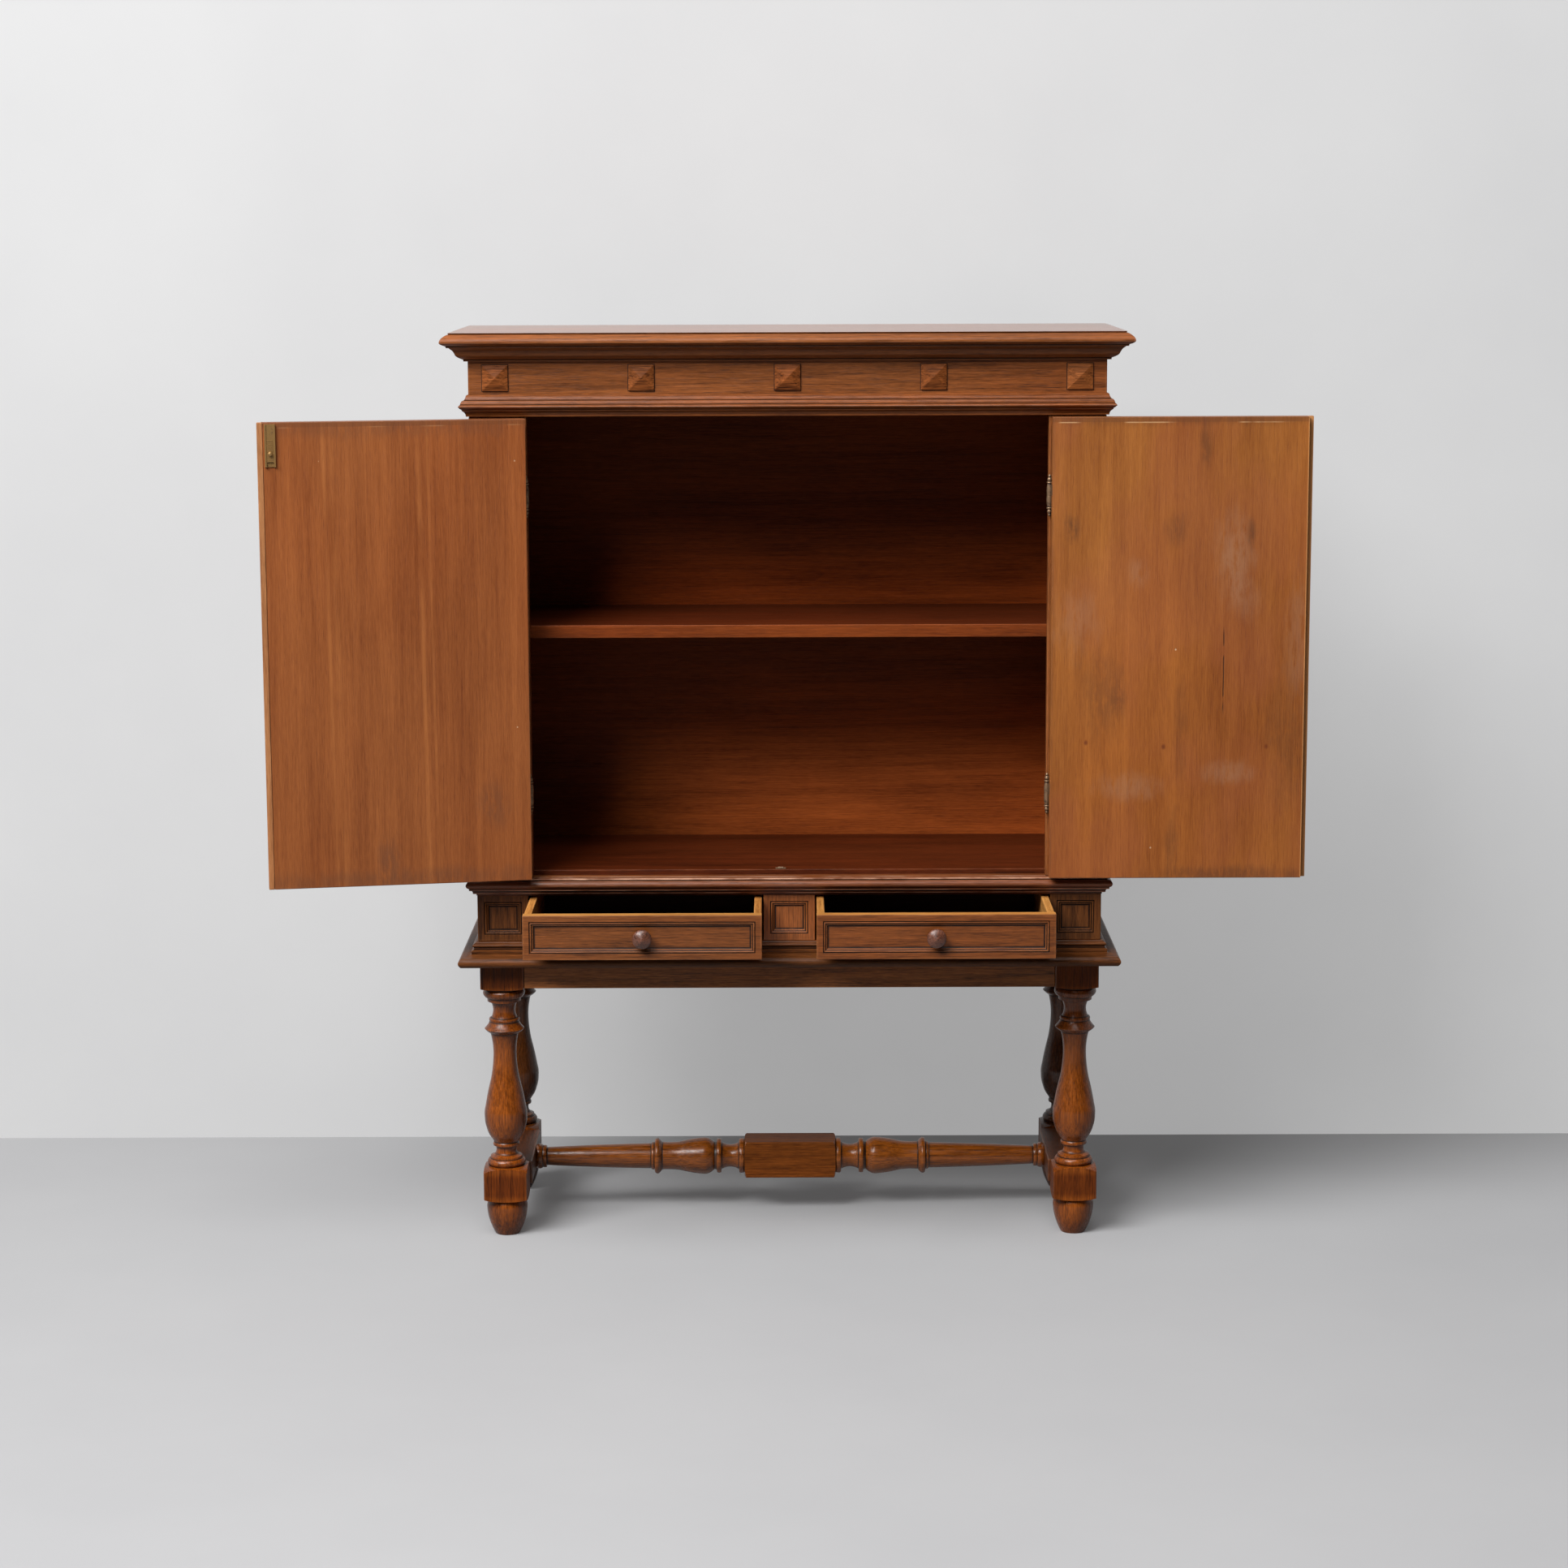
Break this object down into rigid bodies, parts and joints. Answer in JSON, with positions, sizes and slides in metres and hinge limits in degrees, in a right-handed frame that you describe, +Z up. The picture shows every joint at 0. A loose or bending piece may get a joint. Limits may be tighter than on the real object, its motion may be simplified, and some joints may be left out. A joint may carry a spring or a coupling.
{
  "type": "two-door cabinet on stand",
  "caption": "Tall wooden cabinet with paired doors over side-by-side drawers, carried on a low stand with turned legs and an H-shaped stretcher.",
  "frame": {"origin": "on the floor the feet stand on, under the middle of the cabinet as posed with its drawers pulled out", "axes": "+X to the right of someone facing the doors, +Y towards the back of the cabinet, +Z up"},
  "size_m": [1.6686, 0.5365, 1.4905],
  "materials": {
    "stained_walnut": "dark stained walnut with a worn satin polish",
    "door_wood": "red-brown polished wood, marked with age",
    "inner_wood": "dark red-brown stain, dull",
    "drawer_lining": "bare honey-coloured wood",
    "knob_wood": "dark turned wood, half gloss",
    "aged_brass": "tarnished brass"
  },
  "bodies": {
    "carcass": {"leg_front_left": "stained_walnut", "leg_front_right": "stained_walnut", "leg_back_left": "stained_walnut", "leg_back_right": "stained_walnut", "apron_front": "stained_walnut", "apron_back": "stained_walnut", "apron_left": "stained_walnut", "apron_right": "stained_walnut", "side_stretcher_left": "stained_walnut", "side_stretcher_right": "stained_walnut", "centre_stretcher": "stained_walnut", "stand_top": "stained_walnut", "base_moulding": "stained_walnut", "case_bottom": "inner_wood", "pilaster_left": "stained_walnut", "pilaster_centre": "stained_walnut", "pilaster_right": "stained_walnut", "drawer_guide_left": "inner_wood", "drawer_guide_centre": "inner_wood", "drawer_guide_right": "inner_wood", "waist_rail": "stained_walnut", "waist_moulding": "stained_walnut", "side_left": "stained_walnut", "side_right": "stained_walnut", "back_panel": "inner_wood", "cabinet_floor": "inner_wood", "shelf": "inner_wood", "cabinet_ceiling": "inner_wood", "stile_left": "stained_walnut", "stile_right": "stained_walnut", "frieze_board": "stained_walnut", "architrave_moulding": "stained_walnut", "cornice_moulding": "stained_walnut", "top_board": "stained_walnut", "hinge_left_lower_stile_half": "aged_brass", "hinge_left_upper_stile_half": "aged_brass", "hinge_right_lower_stile_half": "aged_brass", "hinge_right_upper_stile_half": "aged_brass", "floor_catch": "aged_brass"},
    "left_door": {"door_left": "door_wood", "door_left_lipping": "door_wood", "hinge_left_lower_door_half": "aged_brass", "hinge_left_upper_door_half": "aged_brass", "bolt_channel": "aged_brass"},
    "right_door": {"door_right": "door_wood", "hinge_right_lower_door_half": "aged_brass", "hinge_right_upper_door_half": "aged_brass"},
    "left_drawer": {"drawer_left_front": "stained_walnut", "drawer_left_side_left": "drawer_lining", "drawer_left_side_right": "drawer_lining", "drawer_left_back": "drawer_lining", "drawer_left_bottom": "drawer_lining", "drawer_left_knob": "knob_wood"},
    "right_drawer": {"drawer_right_front": "stained_walnut", "drawer_right_side_left": "drawer_lining", "drawer_right_side_right": "drawer_lining", "drawer_right_back": "drawer_lining", "drawer_right_bottom": "drawer_lining", "drawer_right_knob": "knob_wood"},
    "door_bolt": {"bolt_slide": "aged_brass"}
  },
  "joints": [
    {"name": "left_door_hinge", "type": "hinge", "parent": "carcass", "child": "left_door", "pos_m": [-0.41825, -0.0959, 0.9835], "axis": [0, 0, -1], "range_deg": [-169.5, 10.5]},
    {"name": "right_door_hinge", "type": "hinge", "parent": "carcass", "child": "right_door", "pos_m": [0.41825, -0.0959, 0.9835], "axis": [0, 0, 1], "range_deg": [-180, 0]},
    {"name": "left_drawer_slide", "type": "slide", "parent": "carcass", "child": "left_drawer", "axis": [0, -1, 0], "range_m": [-0.157, 0.1]},
    {"name": "right_drawer_slide", "type": "slide", "parent": "carcass", "child": "right_drawer", "axis": [0, -1, 0], "range_m": [-0.157, 0.1]},
    {"name": "bolt_shoot", "type": "slide", "parent": "left_door", "child": "door_bolt", "axis": [0, 0, 1], "range_m": [0, 0.01]}
  ]
}
